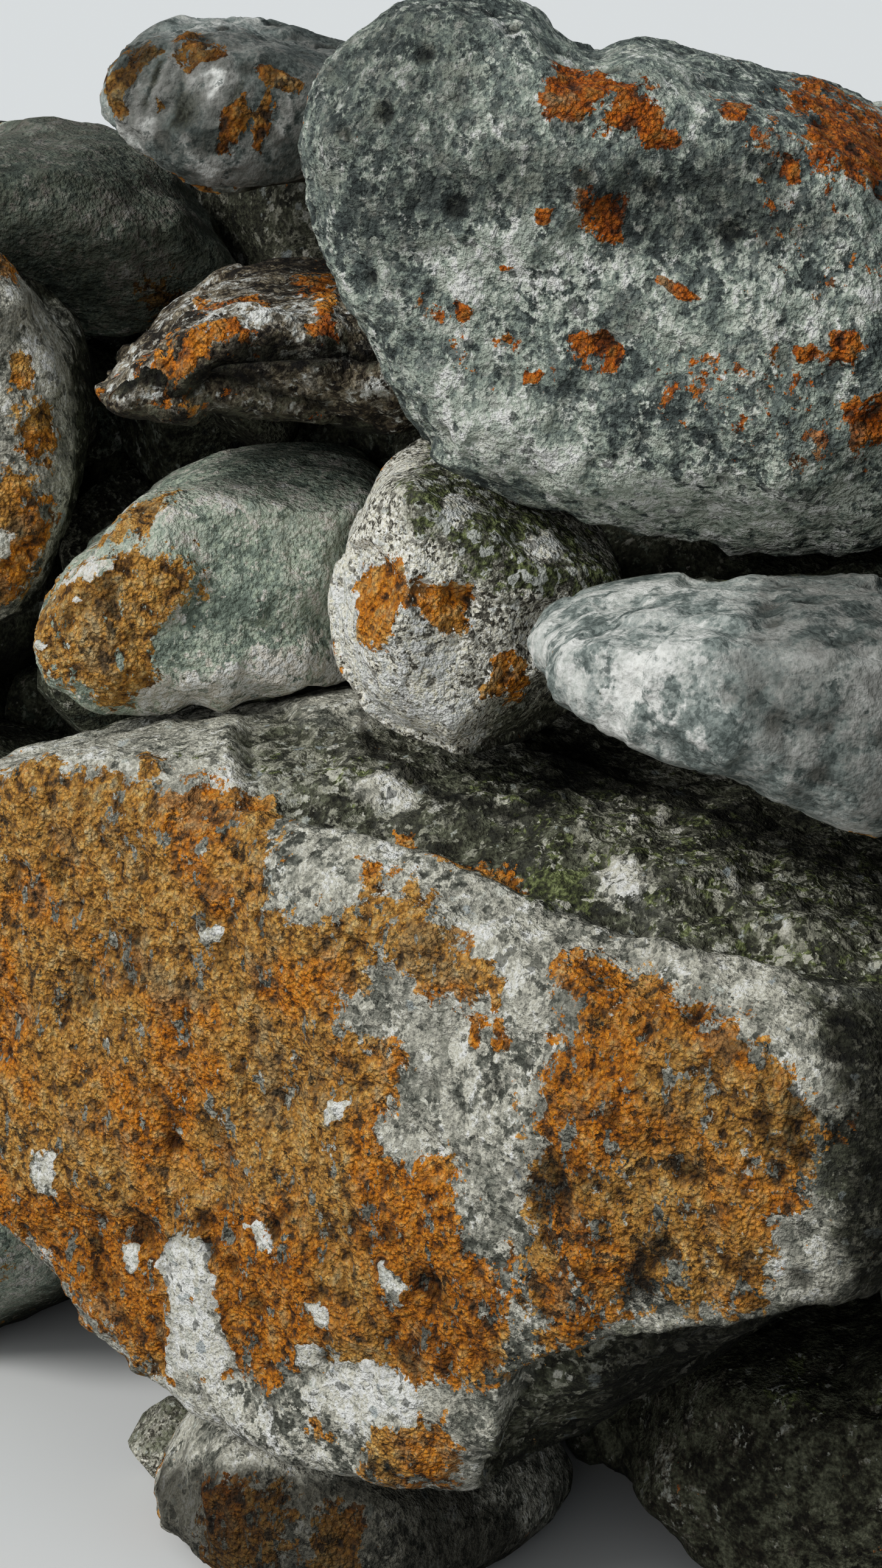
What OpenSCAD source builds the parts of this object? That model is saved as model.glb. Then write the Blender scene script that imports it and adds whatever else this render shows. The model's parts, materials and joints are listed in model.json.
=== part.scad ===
/* [Wall] */
// Length of the wall section
wall_length = 1800; // [1500:10:2200]
// Thickness of the wall at the ground
base_thickness = 560; // [500:10:640]
// Thickness of the wall at the top stones
top_thickness = 430; // [380:10:500]

/* [Courses] */
// Height of the foundation boulders
base_height = 320; // [290:5:370]
// Rise of the middle course
middle_rise = 145; // [130:5:170]
// Rise of the upper course
upper_rise = 145; // [130:5:170]
// Rise of the top stones
top_rise = 120; // [105:5:150]

/* [Joints] */
// Open joint between two stones that bear on each other
joint = 0.3; // [0.2:0.05:0.6]

/* [Hidden] */
// The stones are placed in a wall 1800 long, 560 to 430 thick and 730 high, then fitted to the sizes above
bed_lines = [[-160, -base_height / 2], [0, 0], [320, base_height], [465, base_height + middle_rise],
    [610, base_height + middle_rise + upper_rise], [730, base_height + middle_rise + upper_rise + top_rise],
    [850, base_height + middle_rise + upper_rise + 2 * top_rise]];
face_lines = [[0, base_thickness / 560], [730, top_thickness / 430]];

loft_angles = [-90, -70, -48, -22, 0, 26, 52, 74, 90];
cut_share = 0.2;
rough_rounding_power = 0.52;
rough_lead_share = 0.25;
// The beds cut a stone towards a point a little off its middle line, so no three corners fall in line
eye_shares = [0.14, 0, -0.09];
// Corners lie on a fine grid, which keeps slivers out of the flat beds
grid = 1 / 64;
greys = ["#7d807a", "#6c7068", "#8d8b84", "#75706a"];

function fitted(p) = [p[0] * wall_length / 1800, p[1] * lookup(p[2], face_lines), lookup(p[2], bed_lines)];

function unit(v) = v / norm(v);

// A stone is [name, colour, centre, half sizes, turn about Z, tip about its depth, outline, facets, rounding, lead]
function name_of(s) = s[0];
function colour_of(s) = s[1];
function centre_of(s) = s[2];
function half_of(s) = s[3];
function turn_of(s) = s[4];
function tip_of(s) = s[5];
// Outline of its face, in shares of its half sizes
function outline_of(s) = s[6];
// Flat breaks as [outward normal, distance from its centre]
function facets_of(s) = s[7];
// How fast its section grows behind the face: small is a square shoulder, 1 a round one
function rounding_of(s) = s[8];
// How far its largest section lies ahead of its centre, in shares of its half depth
function lead_of(s) = s[9];

function turned(v, turn, tip) =
    let (t = [v[0] * cos(tip) + v[2] * sin(tip), v[1], -v[0] * sin(tip) + v[2] * cos(tip)])
    [t[0] * cos(turn) - t[1] * sin(turn), t[0] * sin(turn) + t[1] * cos(turn), t[2]];

// Half axes of the stone: along its face, into the wall and up
function axes_of(s) =
    let (h = half_of(s))
    [for (v = [[h[0], 0, 0], [0, h[1], 0], [0, 0, h[2]]]) turned(v, turn_of(s), tip_of(s))];

function place(axes, p) = axes[0] * p[0] + axes[1] * p[1] + axes[2] * p[2];

// A stone fills its box as a rounded block does: |x|^4 + |y|^4 + |z|^4 = 1 in half sizes
function reach(axes, n) = pow(pow(abs(axes[0] * n), 4 / 3) + pow(abs(axes[1] * n), 4 / 3) + pow(abs(axes[2] * n), 4 / 3), 3 / 4);

function rows_of_inverse(axes) =
    let (k = axes[0] * cross(axes[1], axes[2]))
    [cross(axes[1], axes[2]) / k, cross(axes[2], axes[0]) / k, cross(axes[0], axes[1]) / k];

// Way out of the rounded block at the side that faces a neighbour
function steepest(axes, d) =
    let (q = rows_of_inverse(axes))
    unit(q[0] * pow(q[0] * d, 3) + q[1] * pow(q[1] * d, 3) + q[2] * pow(q[2] * d, 3));

// The bed between two stones: [normal out of the first stone, distance from its centre]
function bed(s, t) =
    let (
        d = centre_of(t) - centre_of(s),
        n = unit(steepest(axes_of(s), d) + steepest(axes_of(t), d)),
        hs = reach(axes_of(s), n),
        ht = reach(axes_of(t), n)
    )
    [n, (n * d) * hs / (hs + ht) - joint / 2];

function near(s, t) = norm(centre_of(t) - centre_of(s)) < norm(half_of(s)) + norm(half_of(t));

// The wall's two ends and two faces: no stone reaches past them
function edges_of(c) = concat(
    [for (k = [-1, 1]) [[k, 0, 0], wall_length / 2 - k * c[0]]],
    [for (k = [-1, 1]) [[0, k, 0], base_thickness / 2 - k * c[1]]]
);

function ground_of(c) = [[[0, 0, -1], c[2]]];

function beds_of(s) = concat(
    [for (t = STONES) if (name_of(t) != name_of(s) && near(s, t)) bed(s, t)],
    facets_of(s),
    edges_of(centre_of(s)),
    ground_of(centre_of(s))
);

// A point drawn in towards the eye until it lies behind every bed
function clip(v, eye, beds) =
    eye + (v - eye) / max(concat([1], [for (b = beds) ((v - eye) * b[0]) / (b[1] - eye * b[0])]));

function cut_corners(p) =
    [for (k = [0 : len(p) - 1], t = [cut_share, 1 - cut_share]) p[k] * (1 - t) + p[(k + 1) % len(p)] * t];

// A flat break at a share of the reach that a plain ellipsoid with half sizes h has along n
function break_at(h, n, share) =
    let (u = unit(n))
    [u, norm([h[0] * u[0], h[1] * u[1], h[2] * u[2]]) * share];

// A rough stone's outline has ten uneven corners on a rounded square
rough_corners = 10;
rough_power = 3.6;
corner_wander_angle = 11;
corner_swell_share = 0.07;

function rough_outline(seed) =
    let (r = rands(-1, 1, 2 * rough_corners, seed))
    [for (k = [0 : rough_corners - 1])
        let (
            a = 360 / rough_corners * k + corner_wander_angle * r[k],
            e = pow(pow(abs(cos(a)), rough_power) + pow(abs(sin(a)), rough_power), -1 / rough_power)
        )
        [cos(a), sin(a)] * e * (1 + corner_swell_share * r[rough_corners + k])];

// Its breaks cut it at about the reach of a plain ellipsoid, more often on the wall's front
rough_breaks = 6;
break_share = 0.97;
break_wander_share = 0.07;
front_bias_share = 0.5;

function rough_facets(h, seed) =
    let (r = rands(-1, 1, 4 * rough_breaks, seed + 500))
    [for (k = [0 : rough_breaks - 1])
        break_at(h, [r[4 * k], r[4 * k + 1] - front_bias_share, r[4 * k + 2]],
            break_share + break_wander_share * r[4 * k + 3])];

// A rough stone in the box between two corners
function rough(name, low, high, turn, tip, seed) =
    let (a = fitted(low), b = fitted(high), h = (b - a) / 2)
    [name, greys[seed % len(greys)], (a + b) / 2, h, turn, tip,
        rough_outline(seed), rough_facets(h, seed), rough_rounding_power, rough_lead_share];

// A stone shaped by the outline of its face, in millimetres about its centre
// Its breaks are [outward normal: along its face, into the wall and up; share of the reach]
function shaped(name, colour, centre, half, turn, rounding, lead, outline, breaks = []) =
    let (a = fitted(centre - half), b = fitted(centre + half), h = (b - a) / 2)
    [name, colour, (a + b) / 2, h, turn, 0,
        [for (q = outline) [q[0] / half[0], q[1] / half[2]]],
        [for (f = breaks) with_turn(break_at(h, f[0], f[1]), turn)], rounding, lead];

function with_turn(f, turn) = [turned(f[0], turn, 0), f[1]];

function curve(x, e) = sign(x) * pow(abs(x), e);

function on_grid(p) = [for (k = p) round(k / grid) * grid];

// The face's outline is lofted from the front pole to the back one, and each point is held behind the beds
function stone_points(s) =
    let (
        axes = axes_of(s),
        face = cut_corners(outline_of(s)),
        eye = place(axes, eye_shares),
        beds = beds_of(s)
    )
    [for (a = loft_angles, q = abs(a) == 90 ? [[0, 0]] : face)
        let (
            width = curve(cos(a), rounding_of(s)),
            depth = curve(sin(a), rounding_of(s))
        )
        on_grid(centre_of(s)
            + clip(place(axes, [q[0] * width, depth - lead_of(s) * (1 - abs(depth)), q[1] * width]), eye, beds))];

module stone(s) {
    p = stone_points(s);
    color(colour_of(s))
        hull()
            polyhedron(points = p, faces = [for (k = [0 : 3 : len(p) - 3]) [k, k + 1, k + 2]]);
}

STONES = [
    shaped("lichen_boulder", "#a5692b", [-38, -137, 246], [285, 150, 188], 5, 0.45, 0.5,
        [[-285, -9], [-250, -84], [-198, -128], [-150, -156], [-75, -164], [-22, -188], [15, -186], [48, -160],
            [62, -118], [95, -96], [150, -72], [215, -38], [250, 6], [250, 66], [235, 101], [180, 131], [100, 151],
            [0, 161], [-100, 161], [-200, 151], [-255, 116], [-280, 66]],
        [[[0.113, -0.512, 0.85], 0.9]]),
    shaped("smooth_boulder", "#7c8173", [-243, -139, 433], [90, 90, 60], 42, 0.55, 0.5,
        [[-83, -28], [-82, -9], [-60, 12], [-42, 38], [-27, 50], [0, 56], [45, 61], [75, 58], [90, 40], [90, -40],
            [70, -52], [35, -58], [-25, -58], [-50, -50], [-75, -40]]),
    shaped("granite_cobble", "#98968e", [-60, -166, 460], [70, 90, 77], 42, 0.55, 0.5,
        [[-20, 76], [10, 62], [38, 50], [62, 24], [70, -10], [62, -42], [38, -66], [5, -76], [-25, -60], [-45, -46],
            [-58, -25], [-62, 10], [-48, 30], [-38, 52]],
        [[[0.1, -1, -0.1], 0.92], [[0.55, -0.4, 0.75], 0.9], [[0.55, -0.4, -0.75], 0.97], [[-0.85, -0.5, 0], 0.95],
            [[-0.5, -0.5, -0.7], 0.99]]),
    shaped("pale_slab", "#a6a8a2", [106, -205, 459], [90, 90, 56], 42, 0.55, 0.5,
        [[-82, -4], [-79, 8], [-66, 18], [-27, 25], [6, 30], [58, 33], [80, 28], [90, -6], [77, -46], [58, -56],
            [40, -40], [20, -33], [0, -27], [-30, -15], [-58, -14], [-76, -5]],
        [[[0, 0.5, 0.87], 0.8]]),
    shaped("leaning_boulder", "#828984", [-7, -101, 585], [140, 130, 127], 25, 0.5, 0.6,
        [[-131, 98], [-119, 113], [-88, 124], [-63, 127], [-43, 121], [-21, 101], [5, 98], [27, 98], [46, 96],
            [69, 88], [108, 60], [130, 18], [138, -38], [126, -102], [98, -125], [42, -127], [8, -115], [-18, -90],
            [-50, -71], [-76, -59], [-90, -29], [-112, -4], [-126, 23], [-136, 54]],
        [[[0, 0.5, 0.87], 0.85]]),
    shaped("bridging_slab", "#7d5f40", [-236, -108, 544], [115, 135, 32], 42, 0.5, 0.67,
        [[-79, -15], [-64, -1], [-48, 8], [-33, 19], [-28, 25], [-14, 28], [5, 31], [35, 32], [90, 24], [115, -6],
            [100, -30], [35, -30], [0, -26], [-35, -24], [-62, -21]],
        [[[0, 0.55, 0.84], 0.75]]),
    shaped("wedge_slab", "#9c9384", [-285, -87, 652], [90, 142, 35], 42, 0.5, 0.72,
        [[-50, 11], [-45, 24], [-30, 32], [-8, 35], [16, 33], [45, 19], [85, 12], [90, -15], [60, -30], [22, -33],
            [0, -35], [-12, -26], [-26, -19], [-40, -10], [-49, 0]]),
    shaped("grey_boulder", "#6d7366", [-416, -74, 575], [118, 100, 58], 42, 0.5, 0.5,
        [[-118, 5], [-100, 33], [-60, 48], [-22, 54], [0, 57], [23, 56], [50, 42], [76, 9], [103, -19], [100, -45],
            [60, -56], [0, -58], [-70, -50], [-110, -25]]),
    shaped("upright_stone", "#8d6b42", [-373, -162, 498], [52, 80, 95], 42, 0.5, 0.5,
        [[11, 95], [28, 84], [40, 57], [52, 19], [48, -38], [33, -80], [11, -95], [-20, -92], [-45, -60], [-52, 0],
            [-45, 50], [-20, 88]]),
    rough("footing_cobble", [-212, -275, -60], [-30, -80, 92], 10, 8, 13),
    rough("footing_slab", [-75, -125, -30], [250, 50, 150], 5, -8, 11),

    rough("front_base_1", [-930, -290, -30], [-600, 15, 325], 3, 2, 21),
    rough("front_base_2", [-610, -260, -30], [-330, 15, 345], -3, -2, 22),
    rough("front_middle_1", [-925, -258, 300], [-645, 15, 475], 4, 3, 23),
    rough("front_middle_2", [-660, -252, 320], [-420, 15, 490], -3, -3, 24),
    rough("front_upper_1", [-922, -242, 450], [-640, 10, 620], 2, 2, 25),
    rough("front_upper_2", [-655, -238, 470], [-450, 10, 620], -3, 4, 26),

    rough("front_base_3", [225, -262, -30], [550, 15, 310], 3, 2, 31),
    rough("front_base_4", [530, -290, -30], [930, 15, 345], -3, -2, 32),
    rough("front_middle_3", [215, -255, 290], [530, 15, 450], 4, -3, 33),
    rough("front_middle_4", [505, -258, 320], [925, 15, 485], -2, 3, 34),
    rough("front_upper_3", [185, -245, 430], [500, 10, 600], 2, 2, 35),
    rough("front_upper_4", [480, -248, 460], [922, 10, 620], -3, -3, 36),

    rough("rear_base_1", [-930, -15, -30], [-550, 290, 320], 3, 2, 41),
    rough("rear_base_2", [-570, -15, -30], [-230, 265, 350], -3, -2, 42),
    rough("rear_base_3", [-255, 0, -30], [120, 270, 315], 4, 3, 43),
    rough("rear_base_4", [100, -10, -30], [480, 268, 355], 4, 3, 44),
    rough("rear_base_5", [460, -15, -30], [930, 290, 325], -4, -1, 45),
    rough("rear_middle_1", [-925, -15, 300], [-530, 255, 480], -2, 2, 46),
    rough("rear_middle_2", [-550, -30, 325], [-250, 255, 490], 3, -3, 47),
    rough("rear_middle_3", [-270, -70, 295], [130, 255, 500], -3, 3, 48),
    rough("rear_middle_4", [110, -40, 320], [470, 255, 490], 4, -2, 49),
    rough("rear_middle_5", [450, -15, 300], [925, 255, 480], 2, 3, 50),
    rough("rear_upper_1", [-922, -15, 460], [-500, 245, 605], 2, 2, 52),
    rough("rear_upper_2", [-520, -60, 470], [-190, 240, 652], -3, -2, 53),
    rough("rear_upper_3", [-215, -50, 455], [140, 240, 645], 3, 3, 54),
    rough("rear_upper_4", [120, -20, 470], [470, 242, 640], -2, -2, 55),
    rough("rear_upper_5", [450, -15, 460], [922, 242, 625], 2, 2, 56),

    rough("top_1", [-915, -215, 595], [-690, 170, 725], 2, 3, 61),
    rough("top_2", [210, -215, 580], [520, 215, 725], 2, -3, 65),
    rough("top_3", [500, -215, 600], [905, 215, 735], -2, 3, 66),
];

for (s = STONES)
    stone(s);
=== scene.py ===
"""Looks of the dry stone wall: every boulder is worn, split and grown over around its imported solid."""
import json
import math

import bmesh
import bpy
import numpy as np
from mathutils import Matrix, Vector


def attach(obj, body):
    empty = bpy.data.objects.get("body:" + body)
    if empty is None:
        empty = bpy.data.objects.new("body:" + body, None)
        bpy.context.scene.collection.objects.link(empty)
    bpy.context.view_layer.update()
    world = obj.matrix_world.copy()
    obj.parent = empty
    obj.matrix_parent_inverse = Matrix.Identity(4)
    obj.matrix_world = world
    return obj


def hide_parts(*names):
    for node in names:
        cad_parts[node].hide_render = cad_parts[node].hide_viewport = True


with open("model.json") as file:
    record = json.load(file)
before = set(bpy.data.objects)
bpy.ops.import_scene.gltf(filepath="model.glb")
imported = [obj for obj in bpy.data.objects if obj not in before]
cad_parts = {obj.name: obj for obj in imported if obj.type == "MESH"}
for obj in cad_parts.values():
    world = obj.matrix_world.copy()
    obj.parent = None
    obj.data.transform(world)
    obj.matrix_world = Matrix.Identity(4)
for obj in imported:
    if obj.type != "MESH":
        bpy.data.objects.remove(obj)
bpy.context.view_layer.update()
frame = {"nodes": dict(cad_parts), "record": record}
MM = 0.001

# The camera. Picture units run 0-1125 across and 0-2000 down the frame.
AZIMUTH = math.radians(42)
ELEVATION = math.radians(15)
DISTANCE = 1.5
LENS = 85
SENSOR = 36
FOCUS = np.array([0.0, -0.25, 0.40])
WIDE, TALL = 1125, 2000
# Metres in a picture unit at the distance of the focus
UNIT = DISTANCE * SENSOR / LENS / TALL
LEVEL = math.cos(ELEVATION)
right = np.array([math.cos(AZIMUTH), math.sin(AZIMUTH), 0])
ahead = np.array([-math.sin(AZIMUTH) * LEVEL, math.cos(AZIMUTH) * LEVEL, -math.sin(ELEVATION)])
up = np.cross(right, ahead)
eye = FOCUS - DISTANCE * ahead


def in_picture(v):
    """Picture units of points in metres, and how large a picture unit is at each point, in millimetres."""
    q = v - eye
    depth = q @ ahead
    k = DISTANCE / depth / UNIT
    return np.stack([WIDE / 2 + (q @ right) * k, TALL / 2 - (q @ up) * k], 1), UNIT / MM * depth / DISTANCE


def framed(q, margin):
    """Whether points in picture units lie in the frame or within a margin of it."""
    return ((q > -margin) & (q < np.array([WIDE, TALL]) + margin)).all(1)


cam = bpy.data.objects.new("camera", bpy.data.cameras.new("camera"))
cam.data.lens = LENS
cam.data.sensor_width = SENSOR
cam.data.clip_start = 0.05
turn = Matrix((right, up, -ahead)).transposed().to_4x4()
cam.matrix_world = Matrix.Translation(Vector(eye)) @ turn
bpy.context.scene.collection.objects.link(cam)
bpy.context.scene.camera = cam


# Noise on points in millimetres

def unit(a):
    return a / np.maximum(np.linalg.norm(a, axis=-1, keepdims=True), 1e-12)


def smoothstep(low, high, x):
    t = np.clip((x - low) / (high - low), 0, 1)
    return t * t * (3 - 2 * t)


TABLES = {}


def table(seed):
    """Shuffled numbers, directions and places of one seed."""
    if seed not in TABLES:
        rng = np.random.default_rng(seed)
        numbers = np.tile(rng.permutation(256), 2)
        TABLES[seed] = (numbers, unit(rng.normal(size=(256, 3))), rng.random((256, 3)))
    return TABLES[seed]


def gradient_noise(p, seed):
    """Smooth noise, about -1 to 1, with bumps one unit across."""
    perm, grad, _ = table(seed)
    cell = np.floor(p).astype(np.int64)
    f = p - cell
    w = f * f * f * (f * (f * 6 - 15) + 10)
    c = cell & 255
    out = np.zeros(len(p))
    for i in (0, 1):
        hx = perm[(c[:, 0] + i) & 255]
        wx = w[:, 0] if i else 1 - w[:, 0]
        for j in (0, 1):
            hy = perm[hx + ((c[:, 1] + j) & 255)]
            wy = w[:, 1] if j else 1 - w[:, 1]
            for k in (0, 1):
                g = grad[perm[hy + ((c[:, 2] + k) & 255)]]
                wz = w[:, 2] if k else 1 - w[:, 2]
                dot = g[:, 0] * (f[:, 0] - i) + g[:, 1] * (f[:, 1] - j) + g[:, 2] * (f[:, 2] - k)
                out += wx * wy * wz * dot
    return out * 1.6


def fractal(p, size, octaves, seed, gain=0.5):
    """Layered noise, about -1 to 1, whose largest bumps are size millimetres across."""
    total = np.zeros(len(p))
    weight = 1.0
    norm = 0.0
    for k in range(octaves):
        total += weight * gradient_noise(p / size + 17.3 * k, seed + k)
        norm += weight
        weight *= gain
        size = size / 2.03
    return total / norm


def neighbours(p, size, seed):
    """For each of the 27 cells around the points: the way from its centre, in cells, and its number."""
    perm, _, spot = table(seed)
    q = p / size
    base = np.floor(q).astype(np.int64)
    for step in np.ndindex(3, 3, 3):
        c = base + step - 1
        h = perm[perm[perm[c[:, 0] & 255] + (c[:, 1] & 255)] + (c[:, 2] & 255)]
        yield q - (c + spot[h]), h


def cells(p, size, seed):
    """Distance to the nearest cell centre, in cells, and that cell's number, 0 to 1."""
    nearest = np.full(len(p), 9.0)
    number = np.zeros(len(p))
    for away, h in neighbours(p, size, seed):
        d = np.linalg.norm(away, axis=1)
        closer = d < nearest
        number = np.where(closer, h / 255, number)
        nearest = np.where(closer, d, nearest)
    return nearest, number


def facets(p, size, seed, crisp=14.0):
    """Gently tilted flats about size millimetres across, with soft creases between them."""
    grad = table(seed)[1]
    total = np.zeros(len(p))
    weight = np.full(len(p), 1e-9)
    for away, h in neighbours(p, size, seed):
        w = np.exp(-crisp * (away * away).sum(1))
        total += w * ((away * grad[h]).sum(1) * 1.3 + grad[h, 0] * 0.5)
        weight += w
    return total / weight


# Meshes

def arrays(me):
    """Points and triangles of a mesh."""
    v = np.empty(len(me.vertices) * 3)
    me.vertices.foreach_get("co", v)
    me.calc_loop_triangles()
    t = np.empty(len(me.loop_triangles) * 3, np.int32)
    me.loop_triangles.foreach_get("vertices", t)
    return v.reshape(-1, 3), t.reshape(-1, 3).astype(np.int64)


def remeshed(source, voxel):
    """The solid's surface as an even net of small faces."""
    ob = bpy.data.objects.new("work", source.data.copy())
    bpy.context.scene.collection.objects.link(ob)
    mod = ob.modifiers.new("even", "REMESH")
    mod.mode = "VOXEL"
    mod.voxel_size = voxel
    graph = bpy.context.evaluated_depsgraph_get()
    done = ob.evaluated_get(graph)
    v, t = arrays(done.to_mesh())
    done.to_mesh_clear()
    me = ob.data
    bpy.data.objects.remove(ob)
    bpy.data.meshes.remove(me)
    return v, t


def sides_of(t):
    """The three sides of each triangle, as pairs of points in rising order."""
    return np.sort(np.stack([t[:, [0, 1]], t[:, [1, 2]], t[:, [2, 0]]], 1), axis=2).reshape(-1, 2)


def relax(v, t, steps, share=0.5):
    """Moves every point a share of the way to the middle of its neighbours, some times over."""
    n = len(v)
    e = sides_of(t)
    key = np.unique(e[:, 0] * n + e[:, 1])
    a, b = key // n, key % n
    count = np.bincount(a, minlength=n) + np.bincount(b, minlength=n)
    for _ in range(steps):
        total = [np.bincount(a, v[b, k], n) + np.bincount(b, v[a, k], n) for k in range(3)]
        v = v + share * (np.stack(total, 1) / count[:, None] - v)
    return v


def normals_of(v, t):
    f = np.cross(v[t[:, 1]] - v[t[:, 0]], v[t[:, 2]] - v[t[:, 0]])
    n = np.stack([sum(np.bincount(t[:, c], f[:, k], len(v)) for c in range(3)) for k in range(3)], 1)
    return unit(n)


def refine(v, t, target):
    """Splits edges longer than target(points, normals) until none is left."""
    def triangles(*points):
        return np.stack(points, 1)

    for _ in range(6):
        n = len(v)
        nor = normals_of(v, t)
        e = sides_of(t)
        key, back = np.unique(e[:, 0] * n + e[:, 1], return_inverse=True)
        a, b = key // n, key % n
        mid = (v[a] + v[b]) / 2
        long = np.linalg.norm(v[a] - v[b], axis=1) > target(mid, unit(nor[a] + nor[b]))
        if not long.any():
            break
        new = np.full(len(key), -1)
        new[long] = n + np.arange(long.sum())
        v = np.concatenate([v, mid[long]])
        m = new[back].reshape(-1, 3)
        split = (m >= 0).sum(1)
        s, q = t[split == 3], m[split == 3]
        parts = [t[split == 0], triangles(s[:, 0], q[:, 0], q[:, 2]), triangles(q[:, 0], s[:, 1], q[:, 1]),
                 triangles(q[:, 2], q[:, 1], s[:, 2]), q]
        for k in range(3):
            r = [k, (k + 1) % 3, (k + 2) % 3]
            pick = (split == 1) & (m[:, k] >= 0)
            s, q = t[pick][:, r], m[pick][:, k]
            parts += [triangles(s[:, 0], q, s[:, 2]), triangles(q, s[:, 1], s[:, 2])]
            pick = (split == 2) & (m[:, r[2]] < 0)
            s, q = t[pick][:, r], m[pick][:, r]
            parts += [triangles(q[:, 0], s[:, 1], q[:, 1]), triangles(s[:, 0], q[:, 0], q[:, 1]),
                      triangles(s[:, 0], q[:, 1], s[:, 2])]
        t = np.concatenate(parts)
    return v, t


def new_object(name, v, t, slot, marks):
    """A smooth object on the wall's body, with a number per point for each mark."""
    me = bpy.data.meshes.new(name)
    me.vertices.add(len(v))
    me.vertices.foreach_set("co", v.ravel().astype(np.float32))
    me.loops.add(t.size)
    me.loops.foreach_set("vertex_index", t.ravel().astype(np.int32))
    me.polygons.add(len(t))
    me.polygons.foreach_set("loop_start", np.arange(0, t.size, 3, dtype=np.int32))
    me.polygons.foreach_set("use_smooth", np.ones(len(t), bool))
    me.update(calc_edges=True)
    for key, value in marks.items():
        me.attributes.new(key, "FLOAT", "POINT").data.foreach_set("value", value.astype(np.float32))
    ob = bpy.data.objects.new(name, me)
    bpy.context.scene.collection.objects.link(ob)
    ob.data.materials.append(MATERIALS[slot])
    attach(ob, "root")
    return ob


# Materials. Sizes in metres: noise stops at the smallest, granules are the orange lichen's,
# and crusts larger than the coarse size get streaks of their own.
SMALLEST = 0.0005
GRANULE = 0.0021
SPECK = 0.0037
ROUND_LICHENS = (0.0135, 0.0068)
COARSE = 0.015
# The marks that each point carries. One is painted shade, and lump also makes the orange lichen lighter on
# its lumps and darker between them, as painted light and shade.
MARKS = ("orange", "crust", "moss", "soil", "painted_shade", "lump", "warm")
# Where along their noise bare stone, crusts and orange lichen change tone
BARE_STEPS = (0.34, 0.43, 0.5, 0.57, 0.65)
CRUST_STEPS = (0.40, 0.47, 0.54, 0.60, 0.70)
ORANGE_STEPS = (0.38, 0.43, 0.48, 0.53, 0.59, 0.66)


def srgb(text):
    c = [int(text[k:k + 2], 16) / 255 for k in (1, 3, 5)]
    return [x / 12.92 if x <= 0.04045 else ((x + 0.055) / 1.055) ** 2.4 for x in c] + [1]


class Shader:
    """Short names for the nodes of one material or world."""

    def __init__(self, owner):
        owner.use_nodes = True
        self.owner = owner
        self.tree = owner.node_tree
        self.tree.nodes.clear()

    def add(self, kind, inputs=None, **props):
        node = self.tree.nodes.new(kind)
        for key, value in props.items():
            setattr(node, key, value)
        for key, value in (inputs or {}).items():
            if isinstance(value, bpy.types.NodeSocket):
                self.tree.links.new(value, node.inputs[key])
            else:
                node.inputs[key].default_value = value
        return node

    def math(self, kind, a, b=0.0, c=0.0):
        return self.add("ShaderNodeMath", {0: a, 1: b, 2: c}, operation=kind).outputs[0]

    def vector(self, kind, a, b, c=(0, 0, 0)):
        return self.add("ShaderNodeVectorMath", {0: a, 1: b, 2: c}, operation=kind).outputs[0]

    def times(self, a, b):
        return self.math("MULTIPLY", a, b)

    def around(self, x, share):
        """How far a noise lies from its middle, times a share."""
        return self.math("MULTIPLY_ADD", x, share, -0.5 * share)

    def sum(self, *terms):
        out = terms[0]
        for term in terms[1:]:
            out = self.math("ADD", out, term)
        return out

    def step(self, x, low, high):
        ends = {"Value": x, "From Min": low, "From Max": high}
        return self.add("ShaderNodeMapRange", ends, interpolation_type="SMOOTHSTEP").outputs[0]

    def ramp(self, x, places, colours):
        """Colours, written one after the other, at their places along x."""
        node = self.add("ShaderNodeValToRGB", {"Fac": x})
        stops = node.color_ramp.elements
        while len(stops) < len(places):
            stops.new(0.5)
        for stop, place, colour in zip(stops, places, colours.split()):
            stop.position = place
            stop.color = srgb(colour)
        return node.outputs["Color"]

    def mix(self, share, a, b, kind="MIX"):
        node = self.add("ShaderNodeMix", data_type="RGBA", blend_type=kind)
        for key, value in ((0, share), (6, a), (7, b)):
            if isinstance(value, bpy.types.NodeSocket):
                self.tree.links.new(value, node.inputs[key])
            else:
                node.inputs[key].default_value = srgb(value) if isinstance(value, str) else value
        return node.outputs[2]

    def shown(self, kind, surface):
        """Links the surface to an output of the kind, and gives back the material or world."""
        self.add(kind, {"Surface": surface})
        return self.owner


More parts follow.
